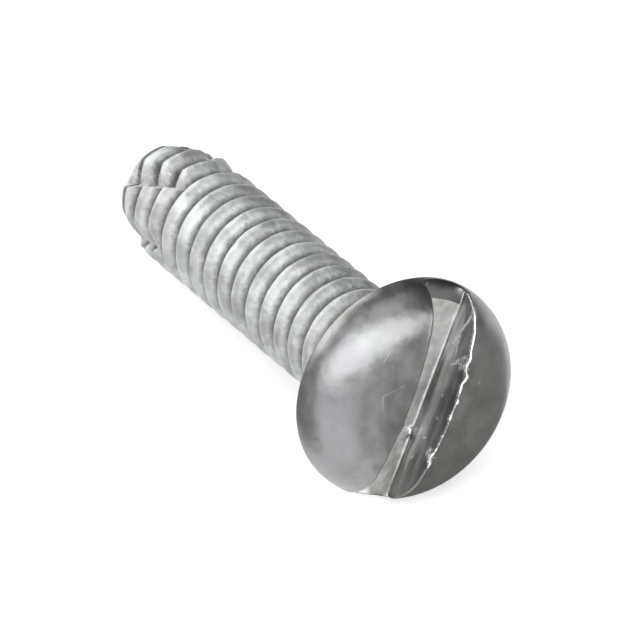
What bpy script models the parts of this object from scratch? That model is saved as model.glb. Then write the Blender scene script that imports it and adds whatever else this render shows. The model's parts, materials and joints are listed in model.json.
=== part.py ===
"""Slotted pan head thread-cutting screw, zinc plated, lying on its side.

The screw is one forged and rolled piece of steel, so it is one solid. It is modelled upright, with its
axis on Z, the bearing face under the head at Z = 0 and the point below, and is then laid down. Depth
is the distance from the bearing face towards the point. An angle is measured about the axis, from X
towards Y, and X is the direction that faces up when the screw lies down.
"""

import math

import bmesh
import bpy
from mathutils import Euler, Vector

# Thread: 32 threads to the inch on a nominal 3.5 mm screw, right-handed
THREAD_DIAMETER = 0.00345
THREAD_PITCH = 0.00079375
FLANK_ANGLE = math.radians(30.0)
CREST_RADIUS = 0.0003
THREAD_START_TURN = 0.09

# Shank, from the bearing face to the end of the point
SHANK_LENGTH = 0.01325
NECK_DIAMETER = 0.00294
NECK_LENGTH = 0.0004
NECK_FILLET = 0.0002
RUNOUT_LENGTH = 0.0008
CORE_CLEARANCE = 0.00002

# Point: a short taper, with slanting flutes pressed into it that cut the mating thread
POINT_LENGTH = 0.0011
POINT_DIAMETER = 0.00275
FLUTE_COUNT = 5
FLUTE_LENGTH = 0.0026
FLUTE_FLOOR_DIAMETER = 0.0025
FLUTE_FLOOR_THREAD = 0.35
FLUTE_RISE = 0.35
FLUTE_ANGLE = math.radians(29.0)
FLUTE_SLANT = math.radians(38.0)
FLUTE_WIDTH_START = math.radians(24.0)
FLUTE_WIDTH_END = math.radians(39.0)
CUTTING_FACE_WIDTH = math.radians(4.0)

# Head: a straight side, a large corner radius and a gently crowned top
HEAD_DIAMETER = 0.00656
HEAD_HEIGHT = 0.00184
HEAD_SIDE_HEIGHT = 0.00017
HEAD_CORNER_RADIUS = 0.00144
HEAD_EDGE_RADIUS = 0.0001

# Slot for the driver
SLOT_WIDTH = 0.00140
SLOT_DEPTH = 0.00141
SLOT_ANGLE = math.radians(-27.5)

# Fineness of the mesh
HEAD_SEGMENTS = 64
CREST_STEPS = 3
CROWN_STEPS = 5
CORNER_STEPS = 7
FILLET_STEPS = 3
FLOOR_COLUMNS = 3
LAND_COLUMNS = 4
RESHAPING_PITCHES = 1.5

# Zinc plate
PLATE_COLOUR = (0.60, 0.61, 0.60, 1.0)
PLATE_ROUGHNESS = 0.38


def clear_scene():
    """Remove every object of the open scene."""
    for obj in list(bpy.data.objects):
        bpy.data.objects.remove(obj, do_unlink=True)


def smooth_step(value):
    """Ease from 0 to 1 as the value goes from 0 to 1."""
    value = min(max(value, 0.0), 1.0)
    return value * value * (3.0 - 2.0 * value)


def mix(first, second, share):
    """Go from the first value to the second by the share."""
    return first + (second - first) * share


def crest_radius():
    """Radius of the rounded crest, which can't be wider than the thread's sharp ridge."""
    return min(CREST_RADIUS, 0.45 * THREAD_PITCH / math.cos(FLANK_ANGLE))


def thread_height():
    """Height of the thread from its V-shaped root to its rounded crest."""
    sharp = THREAD_PITCH / 2.0 / math.tan(FLANK_ANGLE)
    return sharp - crest_radius() * (1.0 / math.sin(FLANK_ANGLE) - 1.0)


def thread_form():
    """Places along one pitch, each with its share of the thread's height: a root, then the crest's arc."""
    radius = crest_radius()
    form = [(-0.5, 0.0)]
    reach = math.pi / 2.0 - FLANK_ANGLE
    for step in range(CREST_STEPS + 1):
        lean = mix(-reach, reach, step / CREST_STEPS)
        drop = radius * (1.0 - math.cos(lean))
        form.append((radius * math.sin(lean) / THREAD_PITCH, 1.0 - drop / thread_height()))
    return form


def flute_progress(depth):
    """How far along the flutes a depth lies: 0 where they start, 1 at the end of the point."""
    return min(max((depth - SHANK_LENGTH + FLUTE_LENGTH) / FLUTE_LENGTH, 0.0), 1.0)


def flute_edges(progress):
    """Angles of a flute's rear edge, the foot of its cutting face and its cutting edge, from FLUTE_ANGLE."""
    cutting = FLUTE_SLANT * progress
    rear = cutting - mix(FLUTE_WIDTH_START, FLUTE_WIDTH_END, progress)
    return rear, cutting - CUTTING_FACE_WIDTH, cutting


def flute_share(angle, depth):
    """How fully a flute shapes the surface: it ramps down from the rear edge to the steep cutting face."""
    progress = flute_progress(depth)
    rear, foot, cutting = flute_edges(progress)
    spacing = 2.0 * math.pi / FLUTE_COUNT
    place = (angle - FLUTE_ANGLE - rear) % spacing + rear
    if place <= foot:
        share = (place - rear) / (foot - rear)
    else:
        share = max((cutting - place) / (cutting - foot), 0.0)
    return share * progress**FLUTE_RISE


def shank_radius(angle, depth, height_share):
    """Radius of the shank's surface at an angle and a depth, for a share of the thread's height."""
    crest = THREAD_DIAMETER / 2.0
    root = crest - thread_height()
    core = NECK_DIAMETER / 2.0 - CORE_CLEARANCE
    formed = smooth_step((depth - NECK_LENGTH) / RUNOUT_LENGTH)
    radius = mix(core, mix(root, crest, height_share), formed)
    taper = max((depth - SHANK_LENGTH + POINT_LENGTH) / POINT_LENGTH, 0.0)
    radius = min(radius, mix(crest, POINT_DIAMETER / 2.0, taper))
    floor = FLUTE_FLOOR_DIAMETER / 2.0 + FLUTE_FLOOR_THREAD * (radius - root)
    return mix(radius, floor, flute_share(angle, depth))


def column_angle(column, columns, depth):
    """Angle of a column of vertices: evenly spread on the shank, and led along the flutes on the point."""
    per_flute = columns // FLUTE_COUNT
    flute, place = divmod(column, per_flute)
    spacing = 2.0 * math.pi / FLUTE_COUNT
    rear, foot, cutting = flute_edges(flute_progress(depth))
    if place <= FLOOR_COLUMNS:
        led = mix(rear, foot, place / FLOOR_COLUMNS)
    else:
        led = mix(cutting, rear + spacing, (place - FLOOR_COLUMNS - 1) / LAND_COLUMNS)
    even = mix(rear, rear + spacing, place / per_flute)
    before = SHANK_LENGTH - FLUTE_LENGTH - depth
    share = smooth_step(1.0 - before / (RESHAPING_PITCHES * THREAD_PITCH))
    return FLUTE_ANGLE + flute * spacing + mix(even, led, share)


def add_threaded_tube(mesh, top_depth):
    """Wrap the thread's form round the shank as one helical skin that reaches past both ends."""
    form = thread_form()
    per_turn = len(form)
    columns = FLUTE_COUNT * (FLOOR_COLUMNS + 1 + LAND_COLUMNS)
    first_turn = math.floor(top_depth / THREAD_PITCH) - 2
    last_turn = math.ceil(SHANK_LENGTH / THREAD_PITCH) + 3
    rows = []
    for turn in range(first_turn, last_turn):
        for place, height_share in form:
            row = []
            for column in range(columns):
                turns = turn + place + THREAD_START_TURN
                nominal = (turns - column / columns) * THREAD_PITCH
                angle = column_angle(column, columns, nominal)
                depth = (turns - angle / (2.0 * math.pi)) * THREAD_PITCH
                radius = shank_radius(angle, depth, height_share)
                point = (radius * math.cos(angle), radius * math.sin(angle), -depth)
                row.append(mesh.verts.new(point))
            rows.append(row)
    for index in range(per_turn, len(rows) - 1):
        upper, lower = rows[index], rows[index + 1]
        for column in range(columns - 1):
            mesh.faces.new((upper[column], lower[column], lower[column + 1], upper[column + 1]))
        next_upper = rows[index - per_turn][0]
        next_lower = rows[index + 1 - per_turn][0]
        mesh.faces.new((upper[-1], lower[-1], next_lower, next_upper))
    loose = [vert for vert in mesh.verts if not vert.link_faces]
    bmesh.ops.delete(mesh, geom=loose, context="VERTS")


def trim(mesh, height, direction):
    """Cut off what lies beyond a level plane."""
    geometry = list(mesh.verts) + list(mesh.edges) + list(mesh.faces)
    bmesh.ops.bisect_plane(
        mesh,
        geom=geometry,
        dist=1e-7,
        plane_co=(0.0, 0.0, height),
        plane_no=(0.0, 0.0, direction),
        clear_outer=True,
    )


def build_shank(top):
    """The threaded shank with its fluted point, from a flat top inside the head to a flat end."""
    mesh = bmesh.new()
    add_threaded_tube(mesh, -top)
    trim(mesh, top, 1.0)
    trim(mesh, -SHANK_LENGTH, -1.0)
    ends = [edge for edge in mesh.edges if edge.is_boundary]
    bmesh.ops.holes_fill(mesh, edges=ends, sides=0)
    bmesh.ops.recalc_face_normals(mesh, faces=mesh.faces)
    return object_from(mesh, "screw")


def arc(centre, radius, start, end, steps):
    """Points of an arc in the profile plane, both ends included."""
    points = []
    for step in range(steps + 1):
        angle = mix(start, end, step / steps)
        points.append((centre[0] + radius * math.cos(angle), centre[1] + radius * math.sin(angle)))
    return points


def head_profile():
    """Half section of the head and the plain neck, from the top of the crown round to the axis below."""
    radius = HEAD_DIAMETER / 2.0
    neck = NECK_DIAMETER / 2.0
    rise = HEAD_HEIGHT - HEAD_SIDE_HEIGHT
    corner = min(HEAD_CORNER_RADIUS, 0.9 * rise, 0.9 * radius)
    inset = radius - corner
    crown = (inset**2 + rise**2 - corner**2) / (2.0 * (rise - corner))
    crown_centre = HEAD_HEIGHT - crown
    tangent = math.atan2(HEAD_SIDE_HEIGHT - crown_centre, inset)
    edge = min(HEAD_EDGE_RADIUS, 0.8 * HEAD_SIDE_HEIGHT)
    fillet = min(NECK_FILLET, 0.8 * NECK_LENGTH, 0.8 * (radius - edge - neck))
    points = arc((0.0, crown_centre), crown, math.pi / 2.0, tangent, CROWN_STEPS)
    points[0] = (0.0, HEAD_HEIGHT)
    points += arc((inset, HEAD_SIDE_HEIGHT), corner, tangent, 0.0, CORNER_STEPS)[1:]
    points += arc((radius - edge, edge), edge, 0.0, -math.pi / 2.0, FILLET_STEPS)
    points += arc((neck + fillet, -fillet), fillet, math.pi / 2.0, math.pi, FILLET_STEPS)
    points += [(neck, -NECK_LENGTH), (0.0, -NECK_LENGTH)]
    return points


def build_head():
    """Turn the head's half section about the axis, with a flat of the turned shape facing down."""
    mesh = bmesh.new()
    start = math.pi / HEAD_SEGMENTS
    verts = []
    for radius, height in head_profile():
        verts.append(mesh.verts.new((radius * math.cos(start), radius * math.sin(start), height)))
    edges = [mesh.edges.new(pair) for pair in zip(verts, verts[1:])]
    bmesh.ops.spin(
        mesh,
        geom=verts + edges,
        cent=(0.0, 0.0, 0.0),
        axis=(0.0, 0.0, 1.0),
        angle=2.0 * math.pi,
        steps=HEAD_SEGMENTS,
        use_merge=True,
    )
    bmesh.ops.remove_doubles(mesh, verts=mesh.verts, dist=1e-7)
    bmesh.ops.recalc_face_normals(mesh, faces=mesh.faces)
    return as_helper(object_from(mesh, "head_blank"))


def build_slot_cutter():
    """A block as wide as the slot, which reaches past the head on both sides and above."""
    mesh = bmesh.new()
    bmesh.ops.create_cube(mesh, size=1.0)
    length = 2.0 * HEAD_DIAMETER
    height = 2.0 * SLOT_DEPTH
    bmesh.ops.scale(mesh, vec=(length, SLOT_WIDTH, height), verts=mesh.verts)
    cutter = as_helper(object_from(mesh, "slot_cutter"))
    cutter.location = (0.0, 0.0, HEAD_HEIGHT)
    cutter.rotation_euler = (0.0, 0.0, SLOT_ANGLE)
    return cutter


def object_from(mesh, name):
    """Store a finished mesh as an object of the scene."""
    data = bpy.data.meshes.new(name)
    mesh.to_mesh(data)
    mesh.free()
    obj = bpy.data.objects.new(name, data)
    bpy.context.scene.collection.objects.link(obj)
    return obj


def as_helper(obj):
    """Mark an object as a tool for a Boolean, which isn't part of the screw."""
    obj.hide_render = True
    obj.display_type = "WIRE"
    return obj


def combine(obj, other, operation):
    """Join another solid to this one, or cut it away, for good."""
    modifier = obj.modifiers.new(operation.title(), "BOOLEAN")
    modifier.operation = operation
    modifier.solver = "EXACT"
    modifier.object = other
    graph = bpy.context.evaluated_depsgraph_get()
    result = bpy.data.meshes.new_from_object(obj.evaluated_get(graph))
    obj.modifiers.clear()
    obj.data = result
    bpy.data.objects.remove(other, do_unlink=True)


def resting_tilt(obj):
    """Slope of the axis when the screw rests on its head's rim and on the thread near its point."""
    profile = sorted((-vert.co.z, vert.co.x) for vert in obj.data.vertices)
    hull = []
    for point in profile:
        while len(hull) > 1:
            first, second = hull[-2], hull[-1]
            turn = (second[0] - first[0]) * (point[1] - first[1])
            turn -= (second[1] - first[1]) * (point[0] - first[0])
            if turn > 0.0:
                break
            hull.pop()
        hull.append(point)
    middle = SHANK_LENGTH / 3.0
    for first, second in zip(hull, hull[1:]):
        if first[0] <= middle < second[0]:
            return math.atan2(second[1] - first[1], second[0] - first[0])
    raise ValueError("the screw has no line to rest on")


def lay_down(obj):
    """Lay the screw on the ground, point towards -X, with the middle of its outline over the origin."""
    tilt = resting_tilt(obj)
    turned = Euler((0.0, tilt - math.pi / 2.0, math.pi))
    corners = [turned.to_matrix() @ vert.co for vert in obj.data.vertices]
    lowest = Vector(min(corner[axis] for corner in corners) for axis in range(3))
    highest = Vector(max(corner[axis] for corner in corners) for axis in range(3))
    middle = (lowest + highest) / 2.0
    obj.rotation_euler = turned
    obj.location = (-middle.x, -middle.y, -lowest.z)


def zinc_plate():
    """Bright zinc plate on steel."""
    material = bpy.data.materials.new("zinc_plate")
    material.use_nodes = True
    shader = material.node_tree.nodes["Principled BSDF"]
    shader.inputs["Base Color"].default_value = PLATE_COLOUR
    shader.inputs["Metallic"].default_value = 1.0
    shader.inputs["Roughness"].default_value = PLATE_ROUGHNESS
    return material


def build_screw():
    """Forge the head on the threaded shank, cut the driver slot and lay the screw down."""
    inside_head = (HEAD_HEIGHT - SLOT_DEPTH) / 2.0
    screw = build_shank(inside_head)
    combine(screw, build_head(), "UNION")
    combine(screw, build_slot_cutter(), "DIFFERENCE")
    screw.data.materials.clear()
    screw.data.materials.append(zinc_plate())
    screw.data.shade_smooth()
    screw.data.set_sharp_from_angle(angle=math.radians(35.0))
    lay_down(screw)
    return screw


clear_scene()
build_screw()
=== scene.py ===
"""Dressed model of a slotted pan head thread-cutting screw in bright zinc plate, lying on a pale stage.

The screw is modelled upright, with its axis on Z, the bearing face under its head at Z = 0 and its point
below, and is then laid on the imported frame. Depth is the distance from the bearing face towards the point.
An angle is measured about the axis, from X towards Y, and X faces up when the screw lies down.
"""

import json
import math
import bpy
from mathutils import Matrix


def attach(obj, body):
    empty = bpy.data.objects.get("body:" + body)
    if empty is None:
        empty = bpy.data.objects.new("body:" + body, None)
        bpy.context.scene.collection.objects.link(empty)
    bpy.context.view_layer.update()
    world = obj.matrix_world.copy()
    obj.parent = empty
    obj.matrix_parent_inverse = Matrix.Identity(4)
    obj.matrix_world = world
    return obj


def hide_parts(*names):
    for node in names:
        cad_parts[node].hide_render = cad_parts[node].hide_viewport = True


bl_info = {
    "name": "Slotted Pan Head Screw",
    "version": (1, 0, 0),
    "blender": (4, 5, 0),
    "location": "3D View > Sidebar > Screw",
    "description": "Builds a zinc-plated thread-cutting screw and a pale studio stage",
    "category": "Add Mesh",
}

from collections import namedtuple

import bmesh
import bpy
from bpy.props import FloatProperty, FloatVectorProperty, IntProperty, PointerProperty
from bpy.types import Operator, Panel, PropertyGroup
from mathutils import Matrix, Vector, noise

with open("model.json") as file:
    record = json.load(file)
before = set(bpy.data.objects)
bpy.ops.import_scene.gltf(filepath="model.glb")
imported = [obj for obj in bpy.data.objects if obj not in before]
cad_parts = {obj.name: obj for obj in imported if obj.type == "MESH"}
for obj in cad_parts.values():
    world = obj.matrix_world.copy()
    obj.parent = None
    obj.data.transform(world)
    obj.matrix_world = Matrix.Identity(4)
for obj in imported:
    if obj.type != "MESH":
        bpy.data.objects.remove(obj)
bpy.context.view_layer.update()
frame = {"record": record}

# Forms that follow from the way such a screw is rolled and pressed
FLANK_ANGLE = math.radians(30.0)
THREAD_START_TURN = 0.09
ROOT_SHARE = 0.03
FLANK_SHARES = (0.15, 0.5)
NECK_FILLET = 0.0002
RUNOUT_LENGTH = 0.0008
CORE_CLEARANCE = 0.00002
SHANK_OVERLAP = 0.0001
FLUTE_FLOOR_THREAD = 0.35
FLUTE_DRAG = 0.0004
# FLUTE_SHADE lifts the crest share in the flutes, so that they get less of the painted shade in the roots
FLUTE_SHADE = 0.6
FLUTE_RISE = 0.35
FLUTE_ANGLE = math.radians(29.0)
FLUTE_SLANT = math.radians(38.0)
FLUTE_WIDTH_START = math.radians(24.0)
FLUTE_WIDTH_END = math.radians(39.0)
CUTTING_FACE_WIDTH = math.radians(4.0)
HEAD_SIDE_HEIGHT = 0.00017
HEAD_EDGE_RADIUS = 0.0001
CORNER_LIMIT = 0.9
SHARP_ANGLE = math.radians(50.0)

# The cup in the end of the point: share of the rim's radius and of the depth for each ring
END_CUP = ((0.985, 0.0), (0.9, 0.06), (0.75, 0.3), (0.55, 0.65), (0.35, 0.9), (0.15, 1.0))
END_CUP_DEPTH = 0.0001
# END_SHADE is the crest share on the end of the point, which sets how much painted root shade it gets
END_SHADE = 0.6

# How large the features of the surface's unevenness are
SHANK_GRAIN = 0.0005
CUP_GRAIN = 0.0004
DOME_GRAIN = 0.0012
WALL_GRAIN = 0.0006
FLOOR_GRAIN = 0.0005

# Fineness of the mesh, and how many turns the thread is made too long at each end before it is trimmed
SPARE_TURNS = 2
CREST_STEPS = 8
FLOOR_COLUMNS = 12
LAND_COLUMNS = 12
RESHAPING_PITCHES = 1.5
CAP_COLUMNS = 96
CAP_ROWS = 36
CAP_CROWDING = 1.7
WALL_ROWS = 14
FLOOR_ROWS = 14
UPPER_END_COLUMNS = 7
LOWER_END_COLUMNS = 1
CORNER_RINGS = 5
ROUND_STEPS = 6
BEARING_RINGS = 8
LIP_ROWS = 3
FOOT_ROWS = 2
SMOOTHING_PASSES = 3
LEVEL_TOLERANCE = 1e-6
CUT_TOLERANCE = 1e-8

# The side of the slot where drivers did the most scraping of the lip, and whose lip gets the most painted
# highlight
WORN_AND_HIGHLIGHT_SIDE = -1

# Damage that drivers left on the slot's lips: where along the slot, on which side of it, how long,
# how far the metal is moved away from the slot and how far up
Mark = namedtuple("Mark", "along side reach outward upward")
MARKS = (
    Mark(0.00165, -1, 0.00010, 0.00003, 0.00003),
    Mark(0.00140, -1, 0.00012, -0.00007, 0.00004),
    Mark(0.00112, -1, 0.00012, 0.00008, 0.00003),
    Mark(0.00040, -1, 0.00010, 0.00004, 0.00002),
    Mark(-0.00010, -1, 0.00009, -0.00003, 0.00002),
    Mark(-0.00135, -1, 0.00013, -0.00012, 0.00003),
    Mark(-0.00155, -1, 0.00010, 0.00005, -0.00002),
    Mark(-0.00060, 1, 0.00014, -0.00009, -0.00003),
    Mark(0.00080, 1, 0.00012, 0.00003, 0.00001),
)
MARK_SPREAD = 1.3
MARK_SHINE = {WORN_AND_HIGHLIGHT_SIDE: 0.9, -WORN_AND_HIGHLIGHT_SIDE: 0.5}

# Wear all along the lips: a ragged ridge of bared metal, partly a painted highlight, strongest on the side
# of most scraping, away from the slot's lower end
RIDGE_HEIGHT = 0.00004
RIDGE_WIDTH = 0.00007
RIDGE_GRAIN = 0.00018
RIDGE_MEAN = 0.6
RIDGE_SPREAD = 0.8
SIDE_SHIFT = 7.3
OTHER_WEAR = 0.4
LEAST_WEAR = 0.3
WEAR_START = -0.0024
WEAR_REACH = 0.001
LOWER_SHINE = 0.48
UPPER_SHINE = 0.75
SHINE_REACH = 0.0008

# The slot's rounded lips, its dropped floor ends and the groove across its floor
LIP_RADIUS = 0.00007
LIP_FADE = 3.0
FLOOR_END_DROP = 0.00025
FLOOR_END_REACH = 0.0006
FLOOR_END_SQUARENESS = 4
GROOVE_ALONG = -0.00088
GROOVE_SLANT = 0.3
GROOVE_REACH = 0.00007
GROOVE_DEPTH = 0.00012

# Scratches on the plate, and one painted highlight in the slot: both ends in the screw's own upright place,
# and the width
Scratch = namedtuple("Scratch", "start end width")
HEAD_SCRATCHES = (
    Scratch((0.00091, 0.00138, 0.00168), (0.00106, 0.00072, 0.00174), 0.000025),
    Scratch((0.00091, 0.00138, 0.00168), (0.00052, 0.00144, 0.00170), 0.00002),
    Scratch((0.00245, 0.00062, 0.00142), (0.00190, 0.00121, 0.00156), 0.00003),
    Scratch((0.00029, -0.00162, 0.00169), (0.00024, -0.00164, 0.00169), 0.00003),
)
SLOT_SCRATCHES_AND_HIGHLIGHT = (
    Scratch((0.00201, -0.00183, 0.00108), (0.00118, -0.00141, 0.00073), 0.00007),
    Scratch((0.00148, -0.00156, 0.00092), (0.00093, -0.00128, 0.00103), 0.00005),
    Scratch((0.00070, -0.00115, 0.00096), (0.00090, -0.00125, 0.00142), 0.00004),
    Scratch((-0.00146, 0.00017, 0.00043), (-0.00129, -0.00010, 0.00042), 0.00003),
    # Painted highlight: a bright line along the foot of the slot's wall, on the floor
    Scratch((0.00091, -0.00119, 0.00043), (-0.00129, -0.00007, 0.00042), 0.00006),
    Scratch((-0.00007, -0.00075, 0.00113), (-0.00008, -0.00074, 0.00115), 0.000055),
    Scratch((-0.00065, -0.00045, 0.00129), (-0.00062, -0.00046, 0.00122), 0.00005),
    Scratch((-0.00124, -0.00015, 0.00109), (-0.00128, -0.00013, 0.00102), 0.00005),
    Scratch((-0.00193, 0.00021, 0.00078), (-0.00185, 0.00017, 0.00086), 0.000045),
    Scratch((0.00095, -0.00129, 0.00127), (0.00083, -0.00122, 0.00116), 0.00008),
    Scratch((0.00103, -0.00134, 0.00140), (0.00108, -0.00136, 0.00146), 0.0001),
    Scratch((0.00083, -0.00121, 0.00148), (0.00076, -0.00118, 0.00140), 0.00009),
    Scratch((-0.00139, -0.00005, 0.00152), (-0.00152, 0.00001, 0.00142), 0.0001),
)
SLOT_DIRT = (
    Scratch((-0.00150, 0.00020, 0.00043), (-0.00137, -0.00004, 0.00042), 0.00012),
    Scratch((-0.00142, -0.00002, 0.00043), (-0.00150, 0.00000, 0.00065), 0.00014),
)

# Noise in the plate: its scale and detail, and the range that is stretched to go from 0 to 1
Grain = namedtuple("Grain", "scale detail low high")
COLOUR_CLOUDS = Grain(1300.0, 3.0, 0.35, 0.65)
GLOSS_CLOUDS = Grain(2600.0, 4.0, 0.3, 0.7)
FINE_GRAIN = Grain(9000.0, 5.0, 0.3, 0.7)
SCRATCH_BREAKS = Grain(13000.0, 2.0, 0.36, 0.52)
BARE_EDGE = Grain(11000.0, 3.0, 0.3, 0.7)
HEAD_STAINS = Grain(700.0, 2.0, 0.4, 0.62)
HEAD_FILM = Grain(480.0, 2.0, 0.42, 0.58)
HEAD_WAVES = Grain(1000.0, 1.5, 0.2, 0.8)
SLOT_LINES = Grain(12000.0, 3.0, 0.35, 0.65)
SLOT_PATCHES = Grain(2600.0, 2.0, 0.38, 0.62)
SLOT_GRAIN = Grain(6000.0, 5.0, 0.3, 0.7)
ROOT_EDGE = Grain(5000.0, 3.0, 0.3, 0.7)
THREAD_HAZE = Grain(620.0, 2.0, 0.48, 0.62)
THREAD_STAINS = Grain(1500.0, 4.0, 0.46, 0.64)
THREAD_WAVES = Grain(2200.0, 3.0, 0.3, 0.7)
FLUTE_TEARS = Grain(7500.0, 4.0, 0.36, 0.62)
NOISE_ROUGHNESS = 0.6

# How far the plate's colour and roughness stray, and how metallic the thread's satin plate is
COLOUR_STRAY = 0.2
GLOSS_STRAY = (0.82, 1.2)
THREAD_METALLIC = 0.75

# Bared metal, partly a painted highlight on the slot's lips, and the painted shade in the thread's roots:
# how much noise ragged edges get, and over what range the edge falls
BARE_RAGGED = 0.6
BARE_EDGE_RANGE = (0.8, 0.95)
ROOT_RAGGED = 0.2
ROOT_EDGE_RANGE = (0.46, 0.84)
ROOT_SHADE_STRENGTH = 0.95

# Heights on the upright screw between which the painted shade round the bottom of the head fades out and the
# painted shade on the slot's walls grows, and how strong each is
RIM_SHADE_LEVELS = (0.00012, 0.0006)
RIM_SHADE_STRENGTH = 0.68
WALL_SHADE_LEVELS = (0.0009, 0.0013)
WALL_SHADE_STRENGTHS = (0.3, 0.75)

# How far the lines in the slot are drawn out along it, and the roughness of the floor and the cards
SLOT_STRETCH = (5.0, 1.0, 1.0)
MATTE_ROUGHNESS = 0.9

# Soft lights: the place and size of each. All aim at the middle of the screw
Lamp = namedtuple("Lamp", "place width height")
KEY_LAMP = Lamp((0.215, -0.138, 0.264), 0.95, 0.36)
TOP_LAMP = Lamp((-0.03, 0.03, 0.36), 0.24, 0.2)
POINT_LAMP = Lamp((-0.35, -0.1, 0.14), 0.4, 0.2)
LAMP_TARGET = (0.0, 0.0, 0.003)

# Nearest corners of the grey cards to the screw, and how far they lie above the floor
RIGHT_CARD_CORNER = (0.006, -0.0013)
FRONT_CARD_CORNER = (0.0066, -0.005)
CARD_LIFT = 0.0002

# The room's light: where its bright side lies, and how it falls off to the dark side
BRIGHT_SIDE = (0.42, -0.68, 0.6)
ROOM_FALL = (-0.05, 0.9)
DARK_SIDE_SHARE = 0.12


class ScrewSizes(PropertyGroup):
    """Sizes of the screw."""

    thread_diameter: FloatProperty(
        name="Thread diameter",
        description="Diameter across the crests of the thread",
        default=0.00345,
        unit="LENGTH",
        precision=5,
    )
    thread_pitch: FloatProperty(
        name="Thread pitch",
        description="Distance from one crest to the next, 32 threads to the inch",
        default=0.00079375,
        unit="LENGTH",
        precision=5,
    )
    crest_radius: FloatProperty(
        name="Crest radius",
        description="Radius of the rolled crest",
        default=0.0003,
        unit="LENGTH",
        precision=5,
    )
    shank_length: FloatProperty(
        name="Length under head",
        description="From the bearing face to the end of the point",
        default=0.01325,
        unit="LENGTH",
        precision=5,
    )
    neck_diameter: FloatProperty(
        name="Neck diameter",
        description="Diameter of the plain neck under the head",
        default=0.00294,
        unit="LENGTH",
        precision=5,
    )
    neck_length: FloatProperty(
        name="Neck length",
        description="Length of the plain neck under the head",
        default=0.0004,
        unit="LENGTH",
        precision=5,
    )
    point_length: FloatProperty(
        name="Point length",
        description="Length of the taper at the point",
        default=0.0011,
        unit="LENGTH",
        precision=5,
    )
    point_diameter: FloatProperty(
        name="Point diameter",
        description="Diameter of the flat end of the point",
        default=0.00275,
        unit="LENGTH",
        precision=5,
    )
    flute_count: IntProperty(
        name="Flutes",
        description="Number of cutting flutes round the point",
        default=5,
        min=1,
    )
    flute_length: FloatProperty(
        name="Flute length",
        description="How far the flutes reach from the end of the point",
        default=0.0026,
        unit="LENGTH",
        precision=5,
    )
    flute_floor_diameter: FloatProperty(
        name="Flute floor",
        description="Diameter at the floor of the flutes",
        default=0.0025,
        unit="LENGTH",
        precision=5,
    )
    head_diameter: FloatProperty(
        name="Head diameter",
        description="Diameter of the head",
        default=0.00656,
        unit="LENGTH",
        precision=5,
    )
    head_height: FloatProperty(
        name="Head height",
        description="Height of the head over its bearing face",
        default=0.00184,
        unit="LENGTH",
        precision=5,
    )
    head_corner: FloatProperty(
        name="Head corner",
        description="Radius of the head's rounded corner",
        default=0.00144,
        unit="LENGTH",
        precision=5,
    )
    slot_width: FloatProperty(
        name="Slot width",
        description="Width of the driver slot",
        default=0.0014,
        unit="LENGTH",
        precision=5,
    )
    slot_depth: FloatProperty(
        name="Slot depth",
        description="Depth of the driver slot at the middle of the head",
        default=0.00141,
        unit="LENGTH",
        precision=5,
    )
    slot_angle: FloatProperty(
        name="Slot angle",
        description="Turn of the slot about the axis",
        default=math.radians(-27.5),
        unit="ROTATION",
    )
    roughness_height: FloatProperty(
        name="Surface unevenness",
        description="Height of the unevenness that rolling and plating leave",
        default=0.000012,
        unit="LENGTH",
        precision=6,
    )


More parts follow.
